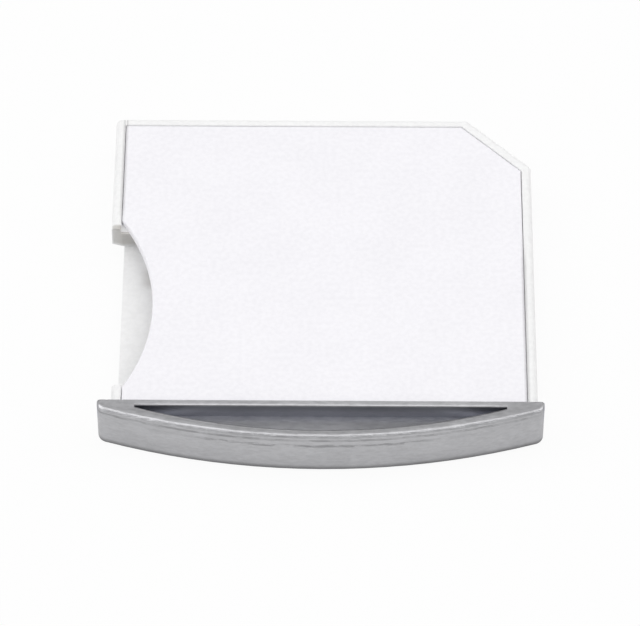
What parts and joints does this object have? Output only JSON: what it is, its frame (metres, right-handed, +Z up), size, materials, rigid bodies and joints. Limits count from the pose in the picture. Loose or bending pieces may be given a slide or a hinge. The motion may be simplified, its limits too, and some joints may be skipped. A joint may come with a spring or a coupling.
{
  "type": "memory card adapter",
  "caption": "Short card adapter: a white plastic card body with a finger notch and side slot for a small memory card, and a bowed metal end cap with a fingernail scoop.",
  "frame": {"origin": "under the middle of the whole adapter's box, at the height of the end cap's underside", "axes": "+Z up from the contact side to the label side, +Y the way the adapter goes into the host's card slot, +X to the right with the label side up and the cap nearest the viewer"},
  "size_m": [0.0248, 0.024, 0.0029],
  "materials": {
    "white_plastic": "fine satin moulded plastic",
    "cap_metal": "fine satin, softly brushed",
    "spring_steel": "plain rolled strip",
    "terminal_plating": "gold-coloured plating over rolled strip"
  },
  "bodies": {
    "root": {"base_housing": "white_plastic", "top_cover": "white_plastic", "end_cap": "cap_metal", "card_detent_spring": "spring_steel", "data_1_terminal": "terminal_plating", "data_0_terminal": "terminal_plating", "ground_terminal": "terminal_plating", "clock_terminal": "terminal_plating", "supply_terminal": "terminal_plating", "command_terminal": "terminal_plating", "data_3_terminal": "terminal_plating", "data_2_terminal": "terminal_plating"}
  },
  "joints": []
}
